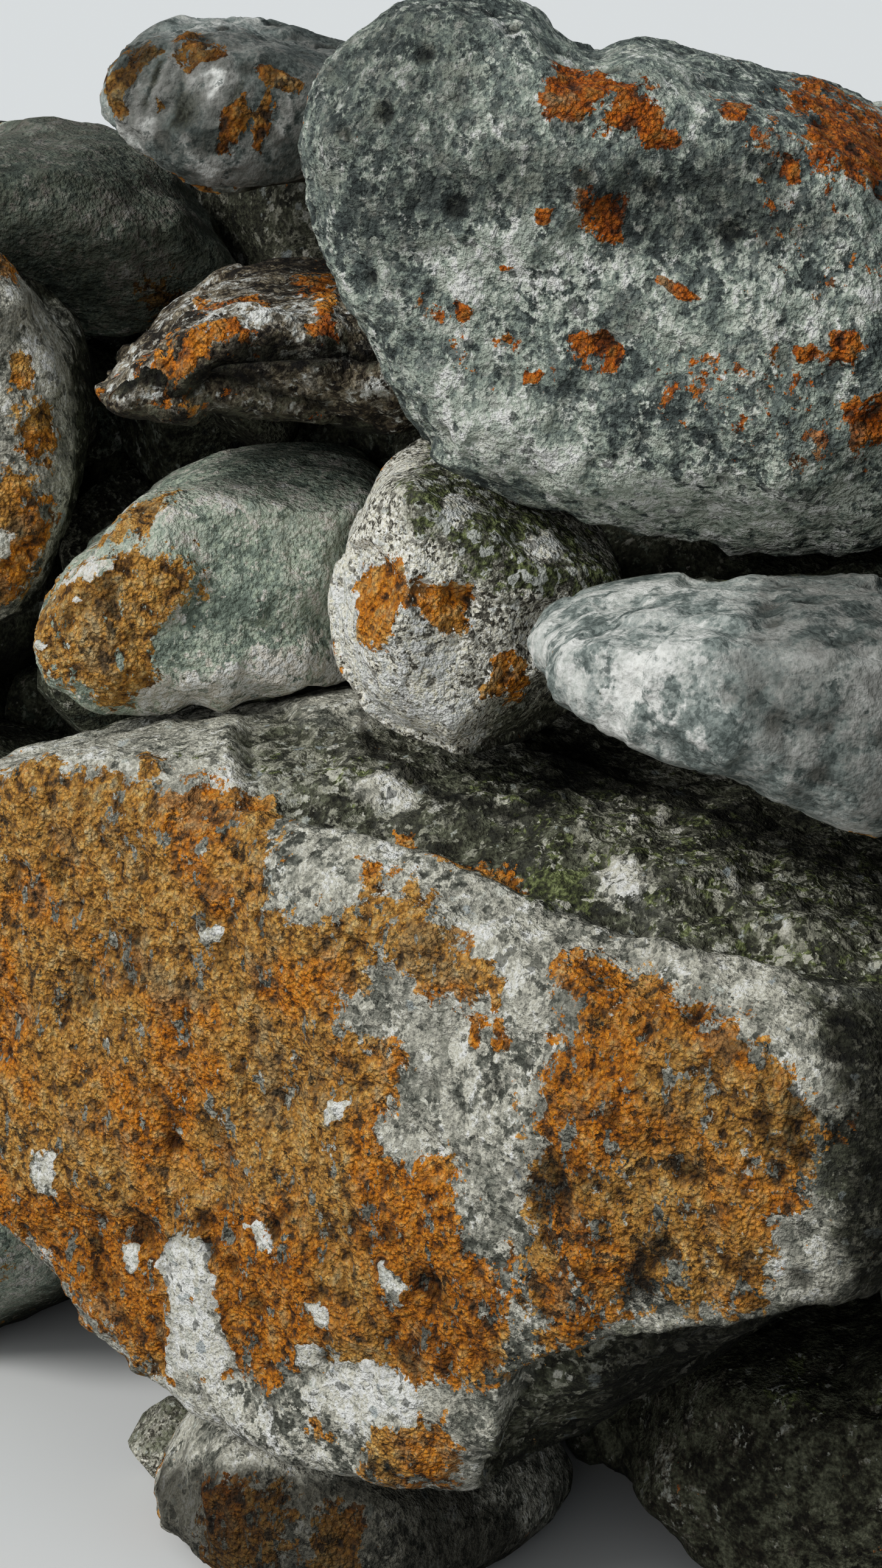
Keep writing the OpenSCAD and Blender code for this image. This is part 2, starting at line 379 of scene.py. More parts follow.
class StoneShader(Shader):
    """Weathered stone with its soil, crusts, lichens and moss, darkened where shade is painted."""

    def __init__(self, slot, look):
        super().__init__(bpy.data.materials.new(slot))
        self.look = look
        self.cells = {}
        self.place = self.add("ShaderNodeTexCoord").outputs["Object"]
        wobble = self.add("ShaderNodeTexNoise", {"Vector": self.place, "Scale": 330.0, "Detail": 1.0})
        wobble = self.vector("SUBTRACT", wobble.outputs["Color"], (0.5, 0.5, 0.5))
        self.bent = self.vector("MULTIPLY_ADD", wobble, (0.0024, 0.0024, 0.0024), self.place)
        self.aside = self.vector("MULTIPLY_ADD", self.place, (1.0, 1.0, 0.6), (3.1, 1.7, 5.3))
        self.marks = {k: self.add("ShaderNodeAttribute", attribute_name=k).outputs["Fac"] for k in MARKS}
        self.blotch = self.noise(0.05, 3, 0.55)
        self.cloud = self.noise(0.010, 5, 0.66)
        self.fine = self.noise(0.0024, 3, 0.6)
        self.veil = self.noise(0.0105, 7, 0.72, self.aside)
        self.cracked = self.noise(0.0085, 6, 0.7)
        self.patch = self.noise(look["crust_size"], 8, 0.72)
        self.granule = self.cell(GRANULE, "Distance", self.place)
        self.soil = self.step(self.sum(self.marks["soil"], self.around(self.cloud, 0.9),
                                       self.around(self.fine, 0.5)), 0.2, 0.75)
        self.grit = self.ramp(self.noise(0.0015, 2, 0.7), (0.32, 0.68), "#939393 #e0e0e0")
        colour = self.round_lichens(self.crusts(self.bare_stone()))
        colour = self.mix(look["gritty"], colour, self.grit, "OVERLAY")
        colour = self.moss(self.orange_lichen(colour))
        # Painted shade: where the marks call for it, the stone is darkened towards a dark grey
        painted_shade = self.step(self.sum(self.marks["painted_shade"], self.around(self.cloud, 0.7)), 0.15, 0.95)
        colour = self.mix(self.times(painted_shade, 0.9), colour, "#4e4c45", "MULTIPLY")
        surface = {"Base Color": colour, "Roughness": self.sum(0.8, self.times(self.cloud, 0.2)),
                   "Normal": self.relief(), "Specular IOR Level": 0.2}
        self.shown("ShaderNodeOutputMaterial", self.add("ShaderNodeBsdfPrincipled", surface).outputs[0])

    def noise(self, size, detail, rough, where=None):
        detail = min(detail, round(math.log2(size / SMALLEST)))
        ends = {"Vector": where or self.place, "Scale": 1 / size, "Detail": detail, "Roughness": rough}
        return self.add("ShaderNodeTexNoise", ends).outputs["Fac"]

    def cell(self, size, out, where):
        """The distance or random colour of cells, with one node for each size."""
        if size not in self.cells:
            self.cells[size] = self.add("ShaderNodeTexVoronoi", {"Vector": where, "Scale": 1 / size})
        return self.cells[size].outputs[out]

    def random(self, size, channel):
        colour = self.cell(size, "Color", self.bent)
        return self.add("ShaderNodeSeparateColor", {"Color": colour}).outputs[channel]

    def bare_stone(self):
        """Stone with its crystals, and the soil and algae that lie in its ledges and joints."""
        look = self.look
        crystals, small = self.random(look["grain"], 0), self.fine
        if look["grain"] < GRANULE:
            small = self.random(look["grain"] * 0.55, 0)
        pick = self.sum(self.times(crystals, 0.62), self.times(small, 0.38))
        tone = self.sum(0.5, self.around(self.blotch, 0.5), self.around(self.cloud, look["cloudy"]),
                        self.around(pick, look["salt"]), self.around(self.fine, 0.15))
        darkening = self.sum(0.5, self.around(self.cloud, 0.9), self.around(self.fine, 0.5))
        darkening = self.ramp(darkening, (0.36, 0.45, 0.54, 0.64), "#211f18 #414033 #646554 #8c8e79")
        return self.mix(self.times(self.soil, 0.92), self.ramp(tone, BARE_STEPS, look["bare"]), darkening)

    def crusts(self, colour):
        """Grey and white crusts with crisp edges, and single white and dark specks."""
        look = self.look
        white = self.marks["crust"]
        reach = self.sum(self.patch, self.around(self.blotch, 0.45), self.around(self.fine, 0.12),
                         self.times(white, 0.13), self.times(self.marks["soil"], -0.10), look["crust"])
        streaks = self.noise(0.026, 6, 0.72, self.aside) if look["crust_size"] > COARSE else self.veil
        shade = self.sum(streaks, self.times(white, 0.10), self.around(self.fine, 0.3),
                         self.around(reach, 0.35))
        tone = self.ramp(shade, CRUST_STEPS, f"{look['crusts']} {look['white']} #dcdbd4")
        colour = self.mix(self.step(reach, *look["crisp"]), colour, tone)
        whites = self.sum(self.random(SPECK, 1), self.times(white, 0.22), self.around(self.cloud, 1.2),
                          look["specks"])
        colour = self.mix(self.times(self.step(whites, 0.90, 0.93), 0.85), colour, look["white"])
        darks = self.sum(self.random(SPECK, 2), self.around(self.cloud, -1.4), look["pepper"])
        colour = self.mix(self.times(self.step(darks, 0.90, 0.93), 0.7), colour, look["bare"].split()[0])
        soiled = self.mix(1.0, colour, "#7c8068", "MULTIPLY")
        return self.mix(self.times(self.soil, 0.6), colour, soiled)

    def round_lichens(self, colour):
        """Round lichens, each with its own size and tone."""
        for size, share in zip(ROUND_LICHENS, self.look["dots"]):
            reach = self.sum(share, self.around(self.random(size, 1), 0.42), self.around(self.cloud, 1.6),
                             self.around(self.blotch, 0.7), self.times(self.marks["crust"], 0.16),
                             self.times(self.marks["soil"], self.look["on_soil"]))
            away = self.times(self.cell(size, "Distance", self.bent), -1.0)
            dot = self.step(self.sum(reach, away, self.around(self.fine, 0.5)), -0.06, 0.07)
            tone = self.sum(self.times(self.random(size, 2), 0.55), self.times(self.fine, 0.45))
            tone = self.ramp(tone, (0.25, 0.45, 0.62, 0.75), self.look["dot_tones"])
            colour = self.mix(self.times(dot, 0.8), colour, tone)
        return colour

    def orange_lichen(self, colour):
        """Granular orange lichen in sandy, vivid and grey stretches, painted light on lumps, painted shade in
        holes and crevices.
        """
        islands = self.noise(0.028, 3, 0.65)
        gaps = self.times(self.step(self.veil, 0.44, 0.37), 0.75)
        ragged = self.sum(self.around(self.noise(0.0075, 6, 0.74), 1.9), self.around(islands, 0.9),
                          self.times(gaps, -1.0))
        # The tone partly follows the lichen's lumps, lighter on their tops and darker between them: painted
        # light and shade
        lump = self.sum(self.times(self.marks["lump"], 0.5), self.times(self.noise(0.0042, 4, 0.66), 0.5))
        tone_and_shading = self.sum(self.times(self.veil, 0.4), self.times(lump, 0.6))
        sandy = self.ramp(tone_and_shading, ORANGE_STEPS, self.look["sandy"])
        vivid = self.ramp(tone_and_shading, ORANGE_STEPS, self.look["vivid"])
        warmth = self.sum(self.noise(0.055, 3, 0.66), self.around(tone_and_shading, 0.3),
                          self.times(self.marks["warm"], 0.14))
        tone = self.mix(self.step(warmth, 0.44, 0.58), sandy, vivid)
        grey = self.sum(islands, self.around(self.veil, 0.2), self.around(self.fine, 0.3),
                        self.times(self.marks["warm"], -0.06))
        grey_tone = self.ramp(tone_and_shading, (0.4, 0.5, 0.62), "#3f3c30 #7c7358 #a59a7c")
        tone = self.mix(self.times(self.step(grey, 0.55, 0.66), 0.5), tone, grey_tone)
        tone = self.mix(0.7, tone, self.grit, "OVERLAY")
        # Painted shade in the holes between granules and in the crevices, darkening them towards a dark brown
        holes = self.math("MAXIMUM", self.times(self.step(self.granule, 0.36, 0.72), 0.6),
                          self.step(lump, 0.46, 0.38))
        crevice = self.step(self.sum(self.cracked, self.around(self.blotch, 0.4)), 0.405, 0.34)
        holes = self.math("MAXIMUM", self.times(holes, 0.75), crevice)
        dark = self.ramp(self.cloud, (0.4, 0.6), "#1f1a12 #4d4535")
        tone = self.mix(self.times(holes, 0.85), tone, dark)
        return self.mix(self.step(self.sum(self.marks["orange"], ragged), 0.47, 0.53), colour, tone)

    def moss(self, colour):
        """Moss, with pale crumbs where it is thin."""
        moss = self.step(self.sum(self.marks["moss"], self.around(self.cracked, 2.1)), 0.46, 0.54)
        tone = self.sum(self.times(self.fine, 0.6), self.times(self.cloud, 0.4))
        tone = self.ramp(tone, (0.38, 0.47, 0.54, 0.62), "#1e1f17 #3d4128 #646c40 #929a68")
        colour = self.mix(self.times(moss, 0.9), colour, tone)
        crumbs = self.sum(self.random(SPECK, 0), self.around(self.cloud, 1.6), self.around(self.fine, 0.8),
                          self.step(self.marks["moss"], 0.95, 0.75))
        crumbs = self.times(self.times(moss, self.step(crumbs, 1.7, 1.8)), 0.8)
        return self.mix(crumbs, colour, self.look["white"])

    def relief(self):
        """Relief below the size of the mesh, rougher where orange lichen grows."""
        furry = self.step(self.marks["orange"], 0.4, 0.6)
        height = self.sum(self.times(self.fine, 1.3), self.times(self.patch, 2.8))
        granules = self.sum(self.times(self.granule, -1.1), self.times(self.marks["lump"], 0.8), self.fine)
        granules = self.times(granules, self.math("MULTIPLY_ADD", furry, 1.3, 0.5))
        height = self.sum(height, granules)
        if self.look["cracks"]:
            cracks = self.times(self.step(self.cracked, 0.405, 0.34), -1.8)
            height = self.sum(height, self.times(furry, cracks))
        bump = {"Strength": 1.0, "Distance": self.look["relief"], "Height": height}
        return self.add("ShaderNodeBump", bump).outputs[0]


OCHRE = "#54391b #94632a #b98237 #cb964a #d3aa69 #bfab82"
ORANGE = "#54300e #975612 #c67518 #d68728 #d99a50 #bfa06a"
RUST = "#4a250a #823e0d #b05710 #c2691a #bb752d #a1733f"
# What the stones have in common where they don't say otherwise
PLAIN = dict(
    grain=GRANULE, salt=0.22, cloudy=0.75, crust=-0.01, crisp=(0.475, 0.535), white="#c3c4bc", specks=-0.06,
    pepper=-0.04, dot_tones="#879084 #a0a899 #b9beae #cfd0c4", gritty=0.5, relief=0.0012, on_soil=-0.12,
    cracks=False, sandy=OCHRE, vivid=ORANGE)
# The bare tones run from the dark specks to the palest crystals
LOOKS = {
    "orange_lichen_stone": dict(
        bare="#42433b #66675d #848377 #9c9a8d #b5b2a5", crusts="#848376 #a09d90 #b2af9f", crust=0.03,
        crust_size=0.0065, crisp=(0.47, 0.53), white="#c8c5b6", dots=(-0.03, -0.04), pepper=0.0, on_soil=0.1,
        cracks=True, dot_tones="#8c9495 #a8aca2 #c0bfb1 #d2cfc2", gritty=0.7),
    "granite": dict(
        bare="#47443b #ada898 #dad6c5 #e6e2d2 #ece8da", salt=0.55, grain=0.0017, cloudy=0.25,
        crusts="#bebaab #d6d2c0 #e2decd", crust=-0.03, crust_size=0.005, specks=-0.1, pepper=0.0, dots=(),
        gritty=1.0),
    "green_grey_stone": dict(
        bare="#646f63 #859183 #a1ac97 #b4bba9 #c1c4b4", salt=0.25, cloudy=0.6,
        crusts="#9ba597 #afb6a4 #c0c3b3", crust_size=0.0065, white="#d2cbbd", specks=-0.12, pepper=-0.06,
        dots=(-0.12, -0.08), dot_tones="#98a08f #aeb2a2 #c3c2b3 #d4cfc2", vivid=OCHRE),
    "pale_lichen_stone": dict(
        bare="#4c5450 #69716c #828a84 #9a9f98 #b0b3ab", crusts="#89908a #a1a59f #b3b5ad", crust=0.0,
        crust_size=0.02, crisp=(0.45, 0.56), white="#c6c6bf", dots=(0.0, -0.1), pepper=-0.15, specks=-0.15,
        cloudy=0.5, dot_tones="#9ca19b #b3b6af #c4c5be #d3d2cb", gritty=0.2, relief=0.0006),
    "speckled_stone": dict(
        bare="#343a38 #4a524e #626a65 #7d837b #a7a99e", crusts="#626b65 #7c867c #98a193", crust=0.0,
        crust_size=0.0065, crisp=(0.46, 0.55), white="#bec3b5", dots=(0.05, 0.09), specks=-0.1, relief=0.0016,
        sandy=RUST, vivid=RUST),
    "brown_slab": dict(
        bare="#1b1712 #2d271e #494033 #716753 #9b917d", salt=0.3, crusts="#4b463b #726c5f #9d978a",
        crust=-0.04, crust_size=0.009, dots=(), specks=-0.2, gritty=0.9, sandy=ORANGE, vivid=RUST),
}
MATERIALS = {slot: StoneShader(slot, dict(PLAIN, **look)).owner for slot, look in LOOKS.items()}

# What grows where on the stones of the photograph, and where shade is painted. Each patch is a kind, a
# strength and the corners of an outline, x,y after x,y in picture units as read. White is pale crust, dark is
# soil, shade is painted shade and shadow and darkens some zones; warm and ochre turn the orange redder or
# sandier.
MOSSY_FACE = """
    500,640 515,600 545,545 640,590 720,645 820,723 775,775 700,765 640,765 590,740 555,705 520,690"""
SLAB_HOLLOW = """
    105,524 195,488 275,462 330,434 420,428 500,450 440,464 330,456 265,476 330,512 415,542 415,565 100,565"""
PAINT = {
    # On the lichen boulder, shade paints shadow on the ledge under the pale slab and the granite cobble,
    # paints shade on its right edge and darkens its right and lower parts; dark paints shade on its right
    # edge, and soil with painted shade in the undercut at its foot.
    "lichen_boulder": """
    orange 1 -60,985 54,969 122,976 172,990 237,1019 251,986 301,1004 366,1019 355,1062 337,1119 352,1162
      402,1162 459,1141 495,1126 560,1137 567,1169 574,1205 631,1227 639,1270 617,1284 545,1263 502,1227
      474,1248 445,1270 430,1284 466,1327 513,1340 517,1363 502,1413 488,1463 531,1485 574,1478 596,1528
      596,1571 610,1607 646,1643 660,1679 660,1743 588,1765 445,1750 345,1757 280,1745 190,1757 100,1660
      30,1590 -60,1500;
    orange 1 459,1815 500,1806 560,1815 581,1850 575,1890 520,1910 465,1885;
    orange 0.8 385,1800 420,1800 425,1840 395,1845;
    orange 0.9 175,958 212,960 207,987 178,987;
    orange 0.85 495,1043 522,1045 524,1067 498,1068;
    orange 0.8 545,1080 600,1080 655,1092 665,1120 640,1125 600,1108 550,1102;
    orange 0.8 455,1100 490,1100 497,1130 463,1135;
    orange 0.75 585,1298 607,1300 606,1342 587,1340;
    orange 0.75 612,1298 642,1300 640,1347 614,1345;
    orange 0.78 696,1205 725,1195 782,1198 825,1220 875,1256 926,1284 961,1327 1005,1356 1033,1406 1076,1435
      1033,1499 1040,1557 990,1585 976,1636 969,1679 890,1686 825,1672 753,1700 717,1750 682,1743 667,1707
      689,1679 660,1657 646,1636 649,1600 667,1557 660,1507 682,1449 674,1392 696,1320 717,1334 725,1291
      703,1256;
    ochre 1 358,1137 573,1137 630,1266 544,1280 458,1223 387,1215;
    ochre 0.8 308,1294 444,1294 487,1394 401,1437 301,1423;
    ochre 0.7 43,1094 272,1094 286,1237 143,1330 43,1294;
    warm 1.2 272,1552 401,1595 401,1757 286,1757;
    warm 1 458,1480 587,1495 650,1620 640,1740 501,1700 458,1552;
    warm 1 -20,1440 86,1538 200,1552 200,1700 86,1652 -20,1560;
    warm 0.2 700,1200 880,1260 1040,1400 1040,1600 860,1690 700,1740 660,1600;
    white 1.6 230,1578 265,1600 276,1657 287,1707 298,1736 273,1750 237,1743 215,1750 219,1693 215,1636
      194,1607;
    white 1.6 398,1780 430,1740 470,1745 530,1780 525,1810 480,1812 455,1837 415,1815;
    white 1.3 43,1463 79,1470 75,1524 50,1520;
    white 1.3 309,1557 345,1560 359,1600 335,1595;
    white 1.3 488,1611 510,1615 531,1645 515,1657 495,1640;
    white 1.3 398,1657 425,1662 434,1693 410,1685;
    white 1.3 380,1711 409,1715 405,1750 385,1745;
    white 1.3 154,1585 176,1590 172,1625 156,1618;
    white 1.3 420,1399 452,1402 448,1430 425,1428;
    white 1.3 251,1184 280,1186 278,1204 254,1202;
    white 0.5 -60,860 60,880 120,940 120,965 54,966 -60,980;
    white 0.7 190,1757 280,1748 330,1790 400,1840 440,1895 500,1925 350,1850 215,1790;
    white 0.2 345,1075 480,1040 560,1060 570,1120 480,1130 400,1160 345,1160;
    white 0.5 345,1120 420,1110 470,1125 430,1155 400,1165 345,1160;
    white 0.2 570,1130 700,1150 690,1210 700,1330 660,1500 650,1600 600,1500 520,1380 500,1280 600,1290
      640,1230;
    white 0.55 575,1170 640,1160 680,1200 660,1290 640,1230;
    white 1.6 761,1095 785,1080 818,1100 812,1130 780,1133;
    dark 0.8 1010,1250 1200,1290 1200,1640 1080,1640 1040,1500 1060,1400;
    shade 0.8 1040,1250 1200,1290 1200,1940 900,1940 700,1760 860,1700 1060,1640;
    shade 0.34 690,1195 880,1255 1040,1370 1090,1440 1060,1640 860,1710 700,1740 655,1640;
    shade 0.36 -60,1540 120,1500 300,1540 480,1520 600,1560 680,1680 660,1780 300,1780 -60,1650;
    white 1 467,985 500,975 530,990 520,1008 480,1010;
    white 0.9 733,1037 741,1029 750,1037 741,1046;
    white 0.8 803,1025 811,1017 820,1025 811,1034;
    white 0.8 838,1014 848,1003 858,1014 848,1028;
    white 0.7 965,1095 977,1081 991,1095 977,1109;
    white 0.7 928,1090 940,1078 952,1090 940,1102;
    white 0.7 982,1159 996,1144 1012,1159 996,1174;
    dark 0.9 655,1750 720,1722 860,1698 1180,1640 1180,1940 600,1940 640,1830;
    white 0.9 431,975 490,968 531,990 510,1012 445,1008;
    shade 1.3 690,940 727,905 811,940 940,1005 1116,1058 1180,1075 1180,1108 1110,1092 940,1042 830,995
      740,980 690,1000;
    shade 1 460,900 560,985 640,1005 710,975 735,1000 650,1030 550,1005 450,925;
    white 0.5 230,958 330,940 430,955 450,1015 350,1035 260,1010;
    moss 1 660,1100 690,1078 745,1085 755,1135 700,1148 665,1135;
    moss 0.42 560,945 850,950 1180,1060 1180,1280 860,1195 700,1145 600,1020;
    moss 0.45 200,940 430,930 560,960 480,1020 380,1010 250,975""",
    # On the leaning boulder, white crust over its lower part also lightens it as painted light, and shade
    # darkens its upper left and a blue-grey zone.
    "leaning_boulder": """
    orange 1.3 717,72 764,72 778,90 814,111 832,140 857,180 829,180 793,169 764,169 771,144 800,146 795,125
      764,118 750,140 706,147 696,122 706,100;
    orange 1.25 742,250 790,248 793,300 765,309 745,285;
    orange 1.15 685,270 706,266 702,287 688,286;
    orange 1.2 627,336 660,338 655,352 630,350;
    orange 1.15 836,357 870,362 893,385 860,380;
    orange 1.3 733,430 760,424 797,450 790,475 742,470;
    orange 1.2 663,478 689,474 685,492 666,492;
    orange 1.2 1022,108 1065,126 1140,180 1140,250 1083,223 1048,201 1033,158;
    orange 1.15 915,128 958,135 945,158 920,150;
    orange 1.15 990,190 1022,195 1020,233 998,225;
    orange 1.2 1058,424 1094,428 1090,464 1062,460;
    orange 1.15 1012,440 1040,442 1036,463 1015,460;
    orange 1.2 1080,520 1126,495 1140,560 1090,563;
    orange 1.1 574,388 600,392 596,410 577,408;
    orange 1.1 630,412 652,416 648,440 632,436;
    orange 0.33 500,380 600,330 700,400 720,480 640,520 560,480;
    orange 0.33 900,100 1000,100 1140,260 1140,420 1000,380 930,260;
    orange 0.3 800,420 1140,420 1140,660 980,620 850,560;
    white 0.7 563,300 650,290 730,310 800,330 760,400 700,460 600,460 560,380;
    white 0.6 960,310 1010,330 1040,400 990,450 940,400;
    white 0.6 1060,320 1130,330 1130,420 1080,400;
    shade 0.5 360,60 480,-20 640,-20 620,120 580,300 500,400 380,240;
    white 0.85 560,500 740,560 1140,600 1140,690 1050,745 900,745 830,730 740,660 640,605 560,560;
    shade 0.2 640,-20 1200,-20 1200,300 900,330 640,280;
    shade 0.62 488,198 665,163 771,198 913,170 1012,191 1096,304 1026,311 913,340 792,333 721,283 629,283
      488,297;
    shade 0.5 760,375 800,365 840,400 830,440 780,435""",
    "wedge_slab": """
    orange 1.3 200,60 165,66 127,100 122,141 149,158 156,125 181,81;
    orange 1.3 228,50 248,44 284,68 240,92 222,80;
    orange 1.2 276,183 290,141 311,122 320,146 297,190 281,196;
    orange 1.2 323,186 327,141 344,118 357,134 338,174 330,190;
    orange 1.2 316,84 345,88 384,112 381,122 340,108;
    orange 1.1 192,128 205,118 208,134 196,142;
    white 1 216,65 206,98 187,136 165,157 181,179 203,163 197,146 214,108 227,81;
    white 1.1 241,98 262,81 295,81 306,103 292,122 279,150 262,136 268,108 246,114;
    white 1 235,179 268,196 300,196 317,205 295,217 262,239 246,217 224,206;
    white 0.8 350,112 382,125 376,163 349,192 342,182 360,146;
    dark 0.8 200,78 212,72 203,105 186,133 176,135 190,105;
    dark 0.8 226,92 240,88 238,114 256,122 258,150 236,168 212,168 212,150 222,118;
    dark 0.8 308,104 316,104 308,122 296,140 286,160 280,166 288,140;
    shade 0.7 225,205 262,245 320,215 420,180 420,300 200,300 120,160 165,165;
    shade 0.7 100,20 480,20 480,300 100,300""",
    # On the bridging slab, dark and shade paint shade in the hollow under its lit top, and shade paints shade
    # on its underside to the right.
    "bridging_slab": f"""
    orange 1 100,530 118,503 162,467 201,438 251,413 273,406 309,395 323,424 316,436 280,436 244,456 201,485
      187,503 154,512 118,530;
    orange 0.85 245,380 300,372 345,365 340,380 300,384 250,396;
    orange 0.9 373,352 400,346 431,345 431,424 400,420 405,380;
    orange 0.8 373,400 400,400 420,420 395,428;
    white 0.7 245,385 330,380 400,380 395,420 330,420 250,410;
    dark 1 {SLAB_HOLLOW};
    shade 2 105,530 195,494 275,468 330,438 420,432 500,450 440,468 345,460 300,480 345,512 415,542 415,565
      100,565;
    shade 0.35 345,460 500,450 560,540 415,545 345,512""",
    "grey_boulder": """
    orange 0.6 172,350 240,345 251,400 230,442 180,430;
    shade 0.8 -60,120 200,130 320,300 360,420 200,460 -60,330""",
    "upright_stone": """
    orange 0.95 -20,300 30,310 43,340 20,360 -20,360;
    orange 0.95 10,450 45,452 48,495 15,500;
    orange 0.95 20,510 80,505 85,560 60,600 25,590;
    orange 0.9 -20,600 50,600 70,660 40,760 -20,780;
    white 0.8 35,430 90,430 90,500 50,520;
    white 0.8 -20,660 30,670 25,720 -20,730""",
    "smooth_boulder": """
    orange 1 20,825 39,775 72,742 115,715 160,706 269,708 251,746 241,778 215,796 194,807 201,843 201,868
      187,886 158,897 133,897 101,879 50,856;
    orange 0.85 115,703 118,688 144,678 151,660 180,642 223,624 245,622 215,650 190,680 160,700;
    white 0.8 72,742 120,715 165,708 150,735 100,755 75,757;
    white 0.9 235,696 285,700 280,722 262,735 250,712;
    white 1.2 172,884 270,850 370,834 470,824 470,930 300,925 190,915;
    white 2 323,846 345,832 378,836 380,864 335,872;
    white 2 255,872 282,862 306,868 302,892 262,896;
    white 0.8 42,823 52,812 64,823 52,834;
    white 0.8 76,823 85,814 95,823 85,832;
    white 0.8 92,768 104,758 114,768 104,778;
    shade 0.12 20,840 60,740 250,700 260,780 200,900 100,890""",
    # On the granite cobble, dark is soil on its mossy face and painted shade on its underside.
    "granite_cobble": f"""
    orange 1.5 448,768 456,726 482,712 502,722 508,770 500,814 478,824 454,806;
    orange 1.3 532,748 548,746 600,752 600,775 590,790 600,808 574,812 546,788 534,770;
    orange 1.3 635,842 655,838 678,870 668,902 640,895 618,890;
    white 0.55 400,700 560,760 640,860 640,1000 540,990 400,880;
    moss 0.62 {MOSSY_FACE};
    dark 0.6 {MOSSY_FACE};
    white 1 560,640 590,625 612,650 590,676 565,668;
    white 1 660,690 700,680 720,705 690,725;
    dark 1 640,915 700,880 800,900 800,1010 600,1000 610,960""",
    "pale_slab": """
    white 0.25 667,803 725,768 860,746 940,739 1018,739 1004,796 954,875 882,904 789,911 717,904 682,854;
    shade 0.6 960,700 1200,700 1200,1100 1000,1020 930,920 920,840""",
    # On the footing cobble, shade is the painted shadow of the lichen boulder above it.
    "footing_cobble": """
    orange 1 251,1890 359,1885 365,1960 350,2040 240,2040;
    orange 0.95 385,1915 459,1916 470,2040 380,2040;
    white 0.5 180,1890 290,1880 280,2040 200,2040;
    shade 1 160,1860 620,1880 760,2060 160,2060""",
}

# Edges of the nets in millimetres: on the side that the camera sees, and on the outside of the other stones
FINE = {"lichen_boulder": 2.1, "leaning_boulder": 1.8, "granite_cobble": 1.3, "smooth_boulder": 1.5,
        "pale_slab": 1.5, "bridging_slab": 1.6, "wedge_slab": 1.8, "grey_boulder": 2.6, "upright_stone": 2.0,
        "footing_cobble": 2.7, "footing_slab": 3.0}
OUTSIDE_EDGE = 7.2
# An edge is split where it is this much longer. In metres: edges on hidden sides, and the nets to start from.
LONGER = 1.4
HIDDEN_EDGE = 0.024
START = {"granite_cobble": 0.005, "bridging_slab": 0.005}
SEEN_START = 0.0075
OTHER_START = 0.013
# Margins around the frame, in picture units, for fine edges and for paint
FINE_MARGIN = 50
PAINT_MARGIN = 80

# Flats cut on the stones: a direction (right, up, towards the camera) and the share of the reach kept
CUTS = {
    "granite_cobble": [(0.15, 0.0, 1.0, 0.9), (0.45, 0.75, 0.5, 0.86), (0.5, -0.80, 0.35, 0.88),
                       (-0.8, 0.1, 0.6, 0.9)],
    "leaning_boulder": [(-0.05, 0.10, 1.0, 0.94), (0.1, -0.6, 0.8, 0.97), (0.3, 0.8, 0.5, 0.95)],
    "smooth_boulder": [(0.1, 0.0, 1.0, 0.92), (0.1, 0.85, 0.5, 0.92), (0.0, -0.8, 0.5, 0.93)],
    "bridging_slab": [(0.0, 0.5, 0.85, 0.94), (-0.5, 0.3, 0.8, 0.94)],
    "wedge_slab": [(-0.3, 0.1, 1.0, 0.9), (0.4, -0.7, 0.6, 0.92)],
    "pale_slab": [(-0.2, 0.1, 1.0, 0.95)],
    "grey_boulder": [(0.3, 0.1, 1.0, 0.9), (0.5, 0.6, 0.6, 0.9)],
}
# How a flat wanders: its depth and size in millimetres, and the share of what stands over it that is cut off
FLAT_WANDER, FLAT_SWELL = 2.5, 45
FLATTENED = 0.92
# Hollows: a point in the picture, its radius and its depth in millimetres
HOLLOWS = {
    "leaning_boulder": [(745, 40, 30, 11), (640, 640, 30, 5), (880, 250, 45, 3)],
    "bridging_slab": [(190, 535, 42, 13), (290, 540, 45, 14), (380, 555, 40, 10), (380, 442, 16, 6),
                      (450, 448, 20, 8)],
    "granite_cobble": [(700, 810, 18, 3), (540, 750, 9, 3), (590, 756, 10, 4)],
    "smooth_boulder": [(330, 905, 16, 4), (400, 912, 13, 5), (250, 905, 12, 3)],
    "wedge_slab": [(330, 150, 18, 4)],
    "lichen_boulder": [(620, 1330, 40, 4), (300, 1500, 50, 4), (880, 1480, 45, 4)],
}
# The ledge along the top of the lichen boulder, and steps in the faces of stones: the outline of the lower
# part, its depth and how much that wanders, in millimetres
LEDGE = "300,1030 440,1062 560,1092 640,1125 700,1152 860,1200 1000,1235 1200,1285 1200,900 300,900"
LEDGE_DEPTH = (9, 6)
STEPS = {
    "lichen_boulder": ("648,1752 720,1728 860,1704 1180,1650 1180,1940 610,1960 636,1850", 17, 5),
    "granite_cobble": ("380,700 470,690 520,745 590,752 640,770 700,770 780,785 900,800 900,1050 380,1050",
                       4, 1),
    "bridging_slab": (SLAB_HOLLOW, 9, 3),
}

